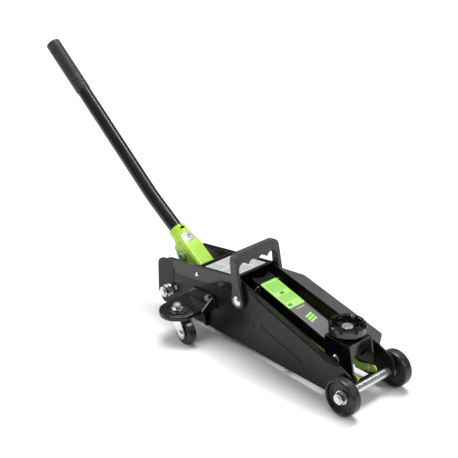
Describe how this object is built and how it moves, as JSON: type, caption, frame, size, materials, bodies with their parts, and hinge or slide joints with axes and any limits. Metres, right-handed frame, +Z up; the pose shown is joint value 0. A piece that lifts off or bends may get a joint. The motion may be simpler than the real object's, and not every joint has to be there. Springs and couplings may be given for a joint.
{
  "type": "hydraulic trolley jack",
  "caption": "Low hydraulic floor jack on wheels and rear casters, with a lift arm, cupped saddle, carry handle and a two-position pump handle in a green socket.",
  "frame": {"origin": "centre of the bounding box, on the ground", "axes": "+X towards the front axle and saddle, +Y to the jack's left side, +Z up"},
  "size_m": [0.8133, 0.242, 0.3944],
  "materials": {
    "black_gloss_paint": "gloss black enamel",
    "lime_paint": "gloss lime green enamel",
    "bar_paint": "semi-gloss black enamel",
    "zinc_plated": "bright zinc plating",
    "cast_black": "black painted casting",
    "wheel_black": "moulded nylon, slight sheen",
    "handle_plastic": "fine-textured moulded plastic",
    "grip_rubber": "matt ribbed rubber",
    "plug_rubber": "matt rubber",
    "polished_rod": "ground and polished",
    "spring_steel": "bright drawn wire"
  },
  "bodies": {
    "frame": {"side_plate_left": "black_gloss_paint", "side_plate_right": "black_gloss_paint", "rear_cover": "black_gloss_paint", "cover_screws": "zinc_plated", "front_axle": "zinc_plated", "wheel_nuts": "zinc_plated", "cross_tubes": "black_gloss_paint", "rear_tie_rod": "zinc_plated", "tie_rod_nuts": "zinc_plated", "caster_plate_left": "black_gloss_paint", "caster_plate_right": "black_gloss_paint", "caster_bolts": "zinc_plated", "caster_kingpins": "zinc_plated", "caster_nuts": "zinc_plated", "arm_shaft": "zinc_plated", "shaft_collars": "zinc_plated", "link_studs": "zinc_plated", "carry_bolts": "zinc_plated", "carry_washers": "zinc_plated", "pump_block": "cast_black", "side_bolts": "zinc_plated", "cylinder_tube": "black_gloss_paint", "cylinder_gland": "zinc_plated", "oil_tank": "black_gloss_paint", "oil_plugs": "plug_rubber", "socket_pivot_bolt": "zinc_plated", "plunger_spring": "spring_steel"},
    "lift_arm": {"lift_arm": "black_gloss_paint", "arm_pivot_tube": "black_gloss_paint", "arm_springs": "spring_steel", "lug_pin": "zinc_plated"},
    "lug_roller": {"lug_roller": "zinc_plated"},
    "link_bars": {"link_bar_left": "lime_paint", "link_bar_right": "lime_paint"},
    "saddle_bracket": {"saddle_bracket": "black_gloss_paint", "bracket_pin": "zinc_plated", "pin_clip": "zinc_plated", "bracket_studs": "zinc_plated", "saddle_bolt": "zinc_plated", "saddle_nut": "zinc_plated"},
    "saddle": {"saddle": "cast_black"},
    "ram": {"ram": "polished_rod"},
    "plunger": {"plunger": "polished_rod"},
    "release_valve": {"release_valve": "zinc_plated"},
    "handle_socket": {"handle_socket": "lime_paint", "socket_roller_pin": "zinc_plated"},
    "socket_roller": {"socket_roller": "zinc_plated"},
    "handle": {"handle_bar": "bar_paint", "handle_grip": "grip_rubber"},
    "carry_handle": {"carry_handle": "handle_plastic"},
    "front_wheel_left": {"front_wheel_left": "wheel_black"},
    "front_wheel_right": {"front_wheel_right": "wheel_black"},
    "caster_left": {"caster_fork_left": "zinc_plated", "caster_rivet_left": "zinc_plated"},
    "caster_right": {"caster_fork_right": "zinc_plated", "caster_rivet_right": "zinc_plated"},
    "caster_wheel_left": {"caster_wheel_left": "wheel_black"},
    "caster_wheel_right": {"caster_wheel_right": "wheel_black"}
  },
  "joints": [
    {"name": "arm_lift", "type": "hinge", "parent": "frame", "child": "lift_arm", "pos_m": [0.13615, 0, 0.089], "axis": [0, -1, 0], "range_deg": [0, 50]},
    {"name": "bracket_level", "type": "hinge", "parent": "lift_arm", "child": "saddle_bracket", "pos_m": [0.33015, 0, 0.06], "axis": [0, -1, 0], "range_deg": [-50, 0]},
    {"name": "link_swing", "type": "hinge", "parent": "frame", "child": "link_bars", "pos_m": [0.16315, 0, 0.067], "axis": [0, -1, 0], "range_deg": [0, 50]},
    {"name": "saddle_turn", "type": "hinge", "parent": "saddle_bracket", "child": "saddle", "pos_m": [0.32815, 0, 0.1], "axis": [0, 0, 1], "continuous": true},
    {"name": "ram_stroke", "type": "slide", "parent": "frame", "child": "ram", "axis": [1, 0, 0], "range_m": [0, 0.0401]},
    {"name": "lug_roller_spin", "type": "hinge", "parent": "lift_arm", "child": "lug_roller", "pos_m": [0.11215, 0, 0.0474], "axis": [0, 1, 0], "continuous": true},
    {"name": "handle_pump", "type": "hinge", "parent": "frame", "child": "handle_socket", "pos_m": [-0.02885, 0, 0.097], "axis": [0, 1, 0], "range_deg": [-15, 25]},
    {"name": "socket_roller_spin", "type": "hinge", "parent": "handle_socket", "child": "socket_roller", "pos_m": [0.00515, 0, 0.093], "axis": [0, 1, 0], "continuous": true},
    {"name": "plunger_stroke", "type": "slide", "parent": "frame", "child": "plunger", "axis": [0, 0, 1], "range_m": [-0.0145, 0.0087], "deforming": ["plunger_spring"]},
    {"name": "handle_twist", "type": "hinge", "parent": "handle_socket", "child": "handle", "pos_m": [-0.06485, 0, 0.131], "axis": [-0.8387, 0, 0.5446], "range_deg": [-60, 60]},
    {"name": "valve_turn", "type": "hinge", "parent": "frame", "child": "release_valve", "pos_m": [-0.02785, -0.015, 0.026], "axis": [-1, 0, 0], "range_deg": [-60, 60]},
    {"name": "carry_swing", "type": "hinge", "parent": "frame", "child": "carry_handle", "pos_m": [0.13615, 0, 0.089], "axis": [0, 1, 0], "range_deg": [-39, 2]},
    {"name": "front_wheel_left_spin", "type": "hinge", "parent": "frame", "child": "front_wheel_left", "pos_m": [0.37615, 0.0585, 0.03], "axis": [0, 1, 0], "continuous": true},
    {"name": "front_wheel_right_spin", "type": "hinge", "parent": "frame", "child": "front_wheel_right", "pos_m": [0.37615, -0.0585, 0.03], "axis": [0, 1, 0], "continuous": true},
    {"name": "caster_left_swivel", "type": "hinge", "parent": "frame", "child": "caster_left", "pos_m": [0.03915, 0.091, 0.05], "axis": [0, 0, 1], "continuous": true},
    {"name": "caster_right_swivel", "type": "hinge", "parent": "frame", "child": "caster_right", "pos_m": [0.03915, -0.091, 0.05], "axis": [0, 0, 1], "continuous": true},
    {"name": "caster_wheel_left_spin", "type": "hinge", "parent": "caster_left", "child": "caster_wheel_left", "pos_m": [0.06406, 0.09318, 0.02], "axis": [-0.0872, 0.9962, 0], "continuous": true},
    {"name": "caster_wheel_right_spin", "type": "hinge", "parent": "caster_right", "child": "caster_wheel_right", "pos_m": [0.06406, -0.09318, 0.02], "axis": [0.0872, 0.9962, 0], "continuous": true}
  ],
  "couplings": [
    {"joint": "bracket_level", "follows": "arm_lift", "ratio": -1},
    {"joint": "link_swing", "follows": "arm_lift", "ratio": 1},
    {"joint": "ram_stroke", "follows": "arm_lift", "m_per_rad": 0.045837},
    {"joint": "plunger_stroke", "follows": "handle_pump", "m_per_rad": -0.0327},
    {"joint": "valve_turn", "follows": "handle_twist", "ratio": 1}
  ]
}
